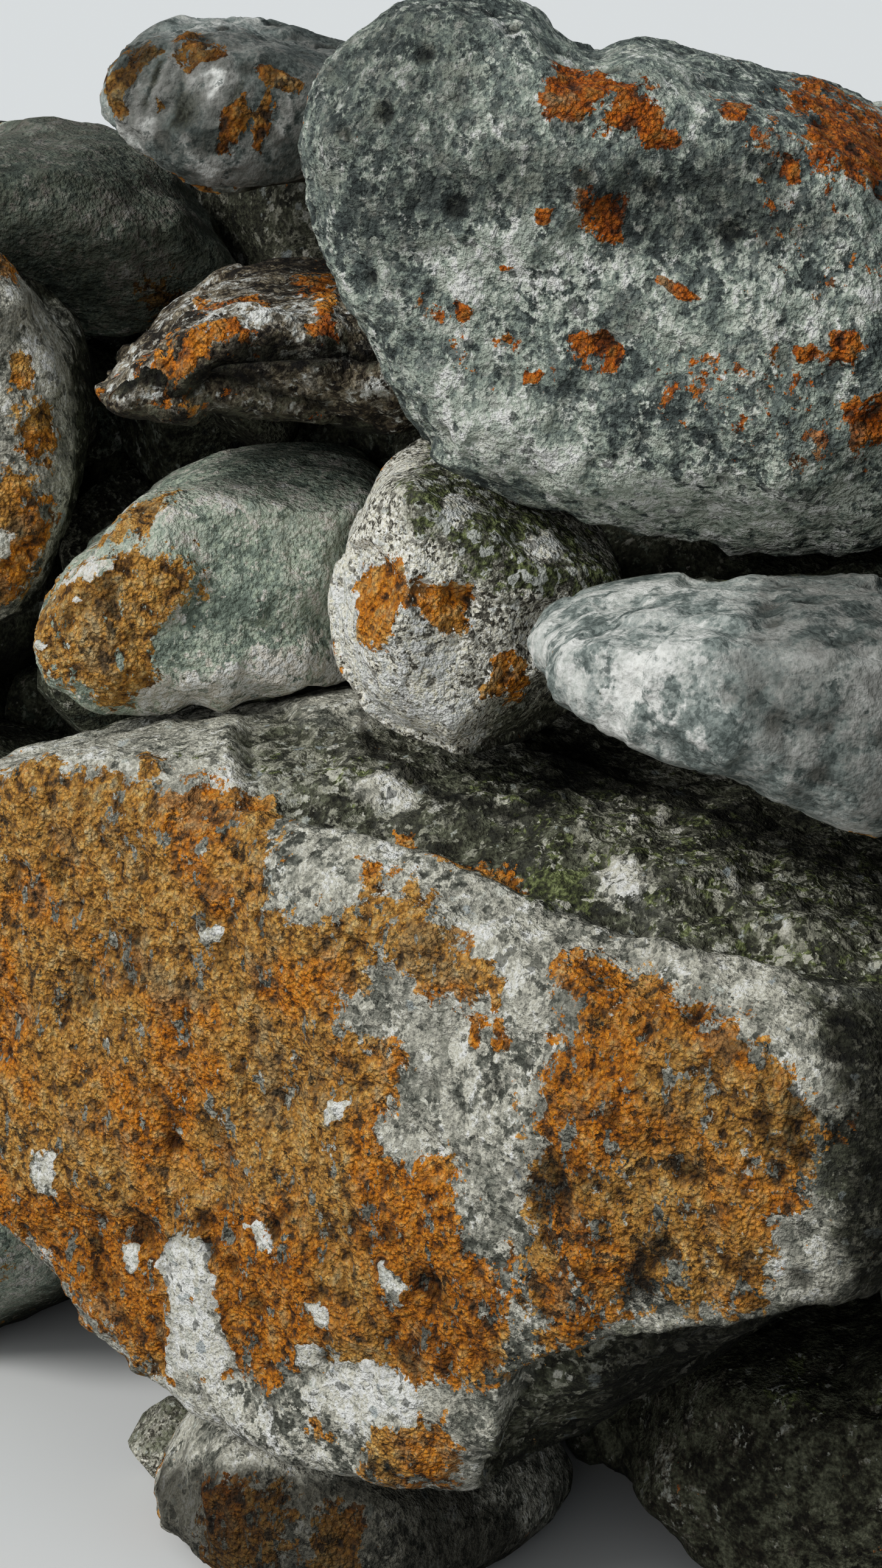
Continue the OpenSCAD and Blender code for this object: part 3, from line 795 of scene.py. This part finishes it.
# How rough the stones are, in millimetres
ROUGHNESS = {
    "plain": dict(sunk=-1.5, broad=6.0, split=1.6, swell=3.0, bumps=2.4, rough=0.9, pits=1.0, layers=0.0),
    "lichen_boulder": dict(broad=4.0, rough=1.0, pits=1.4),
    "leaning_boulder": dict(broad=4.0, split=1.8, bumps=2.6, rough=1.9, pits=1.8),
    "wedge_slab": dict(broad=4.0, split=2.4, bumps=3.2, rough=2.6, pits=2.4),
    "smooth_boulder": dict(broad=4.5, bumps=2.0, rough=0.6, pits=0.4),
    "granite_cobble": dict(broad=3.0, split=1.4, bumps=1.4, rough=0.6, pits=0.8),
    "bridging_slab": dict(broad=4.0, split=2.6, rough=1.2, layers=2.2),
    "pale_slab": dict(broad=4.5, split=2.4, bumps=3.4, rough=1.3),
}
# The stones in view stand this much fuller, and no bare stone stands higher than the top
FULLER = 1
HIGHEST = 2.5

# Share of the sides out of the camera's sight under orange lichen, by slot
ORANGE_COVER = {"orange_lichen_stone": 0.44, "granite": 0.12, "green_grey_stone": 0.2,
                "pale_lichen_stone": 0.12, "speckled_stone": 0.16, "brown_slab": 0.2}
# Where the wall's faces, top and ends begin, in millimetres from its middle and from the ground
FACES = (90, 170)
TOP = (560, 640)
ENDS = (780, 850)

# Painted edges, in millimetres: how wide they are, and how far they wander and fray at most, which is also
# limited to shares of a small patch's width
WIDEST, NARROWEST = 20, 3
WANDER, WANDER_SHARE = 9, 0.15
FRAY, FRAY_SHARE, WHITE_FRAY_SHARE = 5, 0.12, 0.45


def corners(outline):
    """The corners of an outline that is written x,y after x,y."""
    return np.array([corner.split(",") for corner in outline.split()], float)


def inside(q, a):
    """Signed distance of points to a closed outline in picture units, positive inside."""
    near = np.full(len(q), 1e12)
    odd = np.zeros(len(q), bool)
    for p, r in zip(a, np.roll(a, -1, 0)):
        e = r - p
        w = q - p
        t = np.clip(w @ e / (e @ e), 0, 1)
        near = np.minimum(near, ((w - t[:, None] * e) ** 2).sum(1))
        crosses = (p[1] > q[:, 1]) != (r[1] > q[:, 1])
        odd ^= crosses & (q[:, 0] < p[0] + (q[:, 1] - p[1]) * e[0] / (e[1] if e[1] else 1e-9))
    return np.sqrt(near) * np.where(odd, 1, -1)


def painted(name, v, kind, seed):
    """How strongly the patches of one kind cover each point, 0 to about 1, with ragged edges."""
    patches = [patch.split(None, 2) for patch in PAINT[name].split(";")] if name in PAINT else []
    patches = [(float(strength), corners(outline)) for what, strength, outline in patches if what == kind]
    if not patches:
        return np.zeros(len(v))
    p = v / MM
    q, scale = in_picture(v)
    wander = np.stack([fractal(p, 18, 3, seed, 0.6), fractal(p, 18, 3, seed + 9, 0.6)], 1)
    frayed = np.stack([fractal(p, 7, 3, seed + 3, 0.7), fractal(p, 7, 3, seed + 6, 0.7)], 1)
    fray_share = WHITE_FRAY_SHARE if kind == "white" else FRAY_SHARE
    out = np.zeros(len(v))
    for strength, a in patches:
        b = np.roll(a, -1, 0)
        width = math.sqrt(abs((a[:, 0] * b[:, 1] - a[:, 1] * b[:, 0]).sum()) / 2) * UNIT / MM
        moved = wander * min(WANDER, WANDER_SHARE * width) + frayed * min(FRAY, fray_share * width)
        deep = inside(q + moved / scale[:, None], a) * scale
        edge = min(WIDEST, max(1.5 * deep.max(), NARROWEST))
        out = np.maximum(out, strength * np.clip(0.5 + deep / edge, 0, 1))
    return out


def cut(v, name):
    """Cuts the flats, each with a little wander so that it isn't a plane."""
    middle = (v.max(0) + v.min(0)) / 2
    for k, (r, u, f, share) in enumerate(CUTS.get(name, [])):
        n = unit(r * right + u * up - f * ahead)
        out = (v - middle) @ n
        limit = out.max() * share + FLAT_WANDER * MM * fractal(v / MM, FLAT_SWELL, 2, 300 + k)
        v = v - np.maximum(out - limit, 0)[:, None] * FLATTENED * n
    return v


def hollow(v, n, name):
    """Depth in millimetres of the hollows at each point."""
    q, scale = in_picture(v)
    depth = np.zeros(len(v))
    for k, (a, b, radius, deep) in enumerate(HOLLOWS.get(name, [])):
        ragged = 1 + 0.35 * fractal(v / MM, 25, 2, 330 + k)
        away = np.linalg.norm((q - (a, b)) * scale[:, None], axis=1) * ragged
        depth = np.maximum(depth, deep * smoothstep(1, 0.15, away / radius))
    return depth * smoothstep(-0.3, 0.1, -(n @ ahead))


def net_of(name, source):
    """The solid's surface with its flats cut, as a net that is finest where it is looked at."""
    start = START.get(name, SEEN_START) if name in FINE else OTHER_START
    v, t = remeshed(source, start)
    v = relax(v, t, 3)
    v = relax(cut(v, name), t, 2)

    def target(p, n):
        if name in FINE:
            close = (n @ ahead < 0.1) & framed(in_picture(p)[0], FINE_MARGIN)
        else:
            face = (n[:, 1] * np.sign(p[:, 1]) > 0.25) & (np.abs(p[:, 1]) > 0.1)
            close = face | (n[:, 2] > 0.4) & (p[:, 2] > 0.6)
        return np.where(close, FINE.get(name, OUTSIDE_EDGE) * MM * LONGER, HIDDEN_EDGE)

    v, t = refine(v, t, target)
    return relax(v, t, 3, 0.4), t


def bare_form(name, p, seed):
    """Height in millimetres of the bare stone over the net, and the painted shade in its dents and pits."""
    size = dict(ROUGHNESS["plain"], **ROUGHNESS.get(name, {}))
    bumps = fractal(p, 30, 3, seed + 5, 0.6)
    rough = fractal(p, 9, 3, seed + 11, 0.65)
    away, number = cells(p, 17, seed + 13)
    pits = smoothstep(0.42, 0.12, away) * (number < 0.45)
    layers = fractal(p * [0.1, 0.1, 1], 11, 3, seed + 15, 0.6)
    height = size["sunk"] + size["broad"] * facets(p, 75, seed) + size["split"] * facets(p, 24, seed + 3)
    height = height + size["swell"] * fractal(p, 110, 2, seed + 4) + size["bumps"] * bumps
    height = height + size["rough"] * rough - size["pits"] * pits + size["layers"] * layers
    if name in FINE:
        height = height + FULLER
    # Painted shade in the dents and pits
    dents = smoothstep(0.2, 0.9, -bumps) + smoothstep(0.2, 0.9, -rough)
    return np.minimum(height, HIGHEST), 0.45 * dents + 0.3 * pits * size["pits"]


def outer_side(p, n):
    """How far each point belongs to the wall's faces, its top or its ends."""
    face = smoothstep(*FACES, np.abs(p[:, 1])) * smoothstep(-0.2, 0.3, n[:, 1] * np.sign(p[:, 1]))
    top = smoothstep(0.2, 0.7, n[:, 2]) * smoothstep(*TOP, p[:, 2])
    end = smoothstep(*ENDS, np.abs(p[:, 0])) * smoothstep(0.3, 0.6, np.abs(n[:, 0]))
    return np.maximum(np.maximum(face, top), end)


def dressed(name, source, slot, seed):
    """The weathered stone: its points, faces and marks."""
    v, t = net_of(name, source)
    n = normals_of(v, t)
    p = v / MM
    q, scale = in_picture(v)
    seen = smoothstep(0.0, 0.18, -(n @ ahead)) * framed(q, PAINT_MARGIN) * (name in PAINT)
    unseen = 1 - seen
    outer = outer_side(p, n)
    height, darkening = bare_form(name, p, seed)

    def part(outline, wander, edge, salt):
        """How far each point is inside an outline whose edge wanders."""
        wandering = q + wander * fractal(p, 30, 3, seed + salt)[:, None]
        return smoothstep(-2, edge, inside(wandering, corners(outline)) * scale) * seen

    # What grows on the stone: as painted where the camera sees it, by chance elsewhere
    wild = 0.5 + 1.5 * (fractal(p, 60, 4, seed + 21, 0.6) - (0.42 - 0.85 * ORANGE_COVER[slot]))
    orange = seen * painted(name, v, "orange", seed + 31) + unseen * np.clip(wild, 0, 1.1) * outer
    pale = np.clip(fractal(p, 50, 3, seed + 43), 0, 1)
    white = seen * painted(name, v, "white", seed + 41) + unseen * pale * outer
    cushions = smoothstep(-0.2, 0.4, fractal(p, 45, 3, seed + 53)) * (p[:, 2] < 600)
    moss = seen * painted(name, v, "moss", seed + 51)
    moss = moss + unseen * 0.55 * smoothstep(0.35, 0.9, n[:, 2]) * cushions
    # Painted shade: darker inside the wall, on undersides out of sight, where shade is painted and in the
    # dents
    painted_shade = 0.45 * (1 - np.maximum(outer, seen)) + smoothstep(0.2, 0.8, -n[:, 2]) * 0.35 * unseen
    painted_shade = painted_shade + seen * painted(name, v, "shade", seed + 65) + darkening
    soil = unseen * (1 - 0.75 * outer) + seen * painted(name, v, "dark", seed + 61)
    orange = orange - seen * 0.9 * smoothstep(0.5, 0.85, white) * (white > 0.5)
    rosette = seen * smoothstep(0.35, 0.7, white)
    moss = moss * (1 - rosette)

    # The ledge and the steps
    if name == "lichen_boulder":
        ledge = part(LEDGE, 20, 7, 81)
        depth, vary = LEDGE_DEPTH
        height = height - ledge * (depth + vary * fractal(p, 26, 3, seed + 83))
        height = height + 2.5 * ledge * fractal(p, 9, 3, seed + 85)
        soil = soil + ledge * (0.75 + 0.5 * fractal(p, 40, 2, seed + 87))
    soil = soil * (1 - 0.8 * rosette)
    if name in STEPS:
        outline, depth, vary = STEPS[name]
        height = height - part(outline, 14, 2, 89) * (depth + vary * fractal(p, 26, 3, seed + 91))

    # The relief of lichens and moss, and painted shade between the lichen's mounds
    lump = fractal(p, 6.5, 3, seed + 71, 0.7)
    mound = fractal(p * [1, 1, 0.7], 22, 3, seed + 75, 0.6)
    crusted = smoothstep(0.42, 0.6, orange)
    height = height + crusted * (0.5 + 1.9 * lump + 2.4 * mound) + 0.5 * smoothstep(0.4, 0.8, white) + rosette
    # Painted shade in the hollows between the lichen's mounds, and less painted shade on the white rosettes
    painted_shade = painted_shade + 0.6 * crusted * smoothstep(0.05, 0.5, -mound)
    painted_shade = painted_shade * (1 - 0.8 * seen * smoothstep(0.85, 1.2, white))
    height = height + 1.8 * smoothstep(0.35, 0.7, moss) * (0.6 + fractal(p, 7, 2, seed + 73))
    height = height - hollow(v, n, name)
    v = v + n * (height * MM)[:, None]
    v[:, 2] = np.maximum(v[:, 2], 0)
    warm = seen * (painted(name, v, "warm", seed + 77) - painted(name, v, "ochre", seed + 79))
    # lump goes to the shader for relief, and also makes the lichen lighter on its lumps as painted light
    return v, t, {"orange": orange, "crust": white, "moss": moss, "soil": soil, "painted_shade": painted_shade,
                  "lump": 0.5 + 0.8 * lump, "warm": warm}


# Hearting: small stones packed into the wall's middle and pinned into its joints, sizes in millimetres
HEARTING = dict(step=11, largest=34, smallest=10, bite=2.0, count=240, half_length=872, top=572, face=258,
                batter=0.06, edge=12, deep=(240, 150))
HEARTING_SLOTS = ("granite", "speckled_stone", "green_grey_stone")
# The front that the photograph shows keeps its open joints
BARE_FRONT = dict(low=-470, high=240, depth=-70)
# The pale stone on the ground at the boulder's foot: its centre and radius
FOOT_STONE = ((-222, -192, 19), 21)
# A small stone: how many flats are broken on it, the shares of the radius that they leave, its stretch along
# three axes, and its size and roughness as shares of the room that it has
PEBBLE = dict(flats=11, left=(0.62, 0.9), stretch=(0.9, 1.25), size=0.78, rough=0.05)


def planes_of(ob):
    """Outward planes of a convex solid, as normals and offsets, and its box."""
    v, t = arrays(ob.data)
    v = v / MM
    n = unit(np.cross(v[t[:, 1]] - v[t[:, 0]], v[t[:, 2]] - v[t[:, 0]]))
    return n, (n * v[t[:, 0]]).sum(1), v.min(0), v.max(0)


def hollows_between():
    """Greedy packing of balls into the hollows between the stones: centres and radii."""
    h = HEARTING
    reach = h["largest"] + h["step"]
    axes = [np.arange(-k, k + 1, h["step"]) for k in (h["half_length"], h["face"])]
    axes.append(np.arange(h["smallest"], h["top"], h["step"]))
    p = np.stack(np.meshgrid(*axes, indexing="ij"), -1).reshape(-1, 3).astype(float)
    p += np.random.default_rng(5).uniform(-0.45, 0.45, p.shape) * h["step"]
    room = np.full(len(p), float(h["largest"]))
    for ob in frame["nodes"].values():
        n, d, low, high = planes_of(ob)
        near = np.flatnonzero(((p > low - reach) & (p < high + reach)).all(1) & (room > h["smallest"]))
        room[near] = np.minimum(room[near], (p[near] @ n.T - d).max(1))
    room = np.minimum(room, h["face"] - h["edge"] - h["batter"] * p[:, 2] - np.abs(p[:, 1]))
    room = np.minimum(room, h["half_length"] - h["edge"] - np.abs(p[:, 0]))
    room = np.minimum(room, p[:, 2] + h["bite"])
    bare = (p[:, 0] > BARE_FRONT["low"]) & (p[:, 0] < BARE_FRONT["high"]) & (p[:, 1] < BARE_FRONT["depth"])
    keep = (room > h["smallest"]) & ~bare
    p, room = p[keep], room[keep]
    found = []
    while len(found) < h["count"] and room.max() > h["smallest"]:
        k = room.argmax()
        found.append((p[k], room[k]))
        room = np.minimum(room, np.linalg.norm(p - p[k], axis=1) - room[k])
    return found


def ball():
    """Points and triangles of a ball of radius 1."""
    me = bpy.data.meshes.new("ball")
    shape = bmesh.new()
    bmesh.ops.create_icosphere(shape, subdivisions=3, radius=1)
    shape.to_mesh(me)
    shape.free()
    v, t = arrays(me)
    bpy.data.meshes.remove(me)
    return v, t


def pebble(rng, v, t, centre, radius):
    """A small stone broken to flats from a ball."""
    for _ in range(PEBBLE["flats"]):
        n = unit(rng.normal(size=3))
        v = v - np.maximum(v @ n - rng.uniform(*PEBBLE["left"]), 0)[:, None] * n
    v = v * rng.uniform(*PEBBLE["stretch"], 3) @ np.linalg.qr(rng.normal(size=(3, 3)))[0]
    v = v * (radius + HEARTING["bite"]) / np.abs(v).max(1).mean() * PEBBLE["size"]
    v = v + centre
    return v + normals_of(v, t) * (PEBBLE["rough"] * radius * fractal(v, radius, 3, 400))[:, None], t


def hearting():
    """The small stones, gathered to one piece for each slot."""
    rng = np.random.default_rng(6)
    v, t = ball()
    groups = {slot: [] for slot in HEARTING_SLOTS}
    for k, (centre, radius) in enumerate(hollows_between()):
        groups[HEARTING_SLOTS[k % len(groups)]].append(pebble(rng, v, t, centre, radius))
    groups["granite"].append(pebble(rng, v, t, np.array(FOOT_STONE[0]), FOOT_STONE[1]))
    for slot, stones in groups.items():
        starts = np.cumsum([0] + [len(v) for v, _ in stones])
        v = np.concatenate([v for v, _ in stones])
        t = np.concatenate([t + start for (_, t), start in zip(stones, starts)])
        v[:, 2] = np.maximum(v[:, 2], 0)
        # Deeper in the wall the hearting carries more soil, and more painted shade
        deep = smoothstep(*HEARTING["deep"], np.abs(v[:, 1]))
        none = np.zeros(len(v))
        marks = {"orange": none, "crust": 0.3 * fractal(v, 60, 2, 411), "moss": none,
                 "soil": 0.35 + 0.5 * deep, "painted_shade": 0.3 * deep, "lump": none + 0.5, "warm": none}
        new_object("hearting_" + slot, v * MM, t, slot, marks)


hearting()

# The stones. Each has seeds of its own.
FIRST_SEED = 1000
SEEDS_APART = 97
slots = {s["node"]: s["material_slot"] for s in frame["record"]["subparts"]}
for number, name in enumerate(sorted(frame["nodes"])):
    seed = FIRST_SEED + SEEDS_APART * number
    v, t, marks = dressed(name, frame["nodes"][name], slots[name], seed)
    ob = new_object(name + "_rock", v, t, slots[name], marks)
    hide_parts(name)

# Floor and light. The floor and the sky look paler to the camera than they light the wall.
FLOOR = 30
floor_mesh = bpy.data.meshes.new("floor")
floor_mesh.from_pydata([(-FLOOR, -FLOOR, 0), (FLOOR, -FLOOR, 0), (FLOOR, FLOOR, 0), (-FLOOR, FLOOR, 0)], [],
                       [(0, 1, 2, 3)])
floor = bpy.data.objects.new("floor", floor_mesh)
bpy.context.scene.collection.objects.link(floor)
s = Shader(bpy.data.materials.new("floor"))
camera_ray = s.add("ShaderNodeLightPath").outputs["Is Camera Ray"]
grey = s.mix(camera_ray, [0.3, 0.3, 0.3, 1], [0.82, 0.82, 0.80, 1])
matt = s.add("ShaderNodeBsdfDiffuse", {"Color": grey}).outputs[0]
floor.data.materials.append(s.shown("ShaderNodeOutputMaterial", matt))


def sunlight(name, energy, angle, direction):
    """A sun that shines along a direction, as wide as an angle in degrees."""
    sun = bpy.data.objects.new(name, bpy.data.lights.new(name, "SUN"))
    sun.data.energy = energy
    sun.data.angle = math.radians(angle)
    sun.rotation_euler = Vector(direction).to_track_quat("-Z", "Y").to_euler()
    bpy.context.scene.collection.objects.link(sun)


sunlight("key", 1.9, 24, (0.30, 0.85, -0.70))
sunlight("bounce", 1.35, 80, (-0.10, 0.95, 0.15))

s = Shader(bpy.data.worlds.new("world"))
camera_ray = s.add("ShaderNodeLightPath").outputs["Is Camera Ray"]
strength = s.add("ShaderNodeMapRange", {"Value": camera_ray, "To Min": 0.5, "To Max": 0.9}).outputs[0]
sky = s.add("ShaderNodeBackground", {"Color": (0.86, 0.93, 1.0, 1), "Strength": strength}).outputs[0]
bpy.context.scene.world = s.shown("ShaderNodeOutputWorld", sky)

bpy.context.scene.view_settings.view_transform = "Standard"
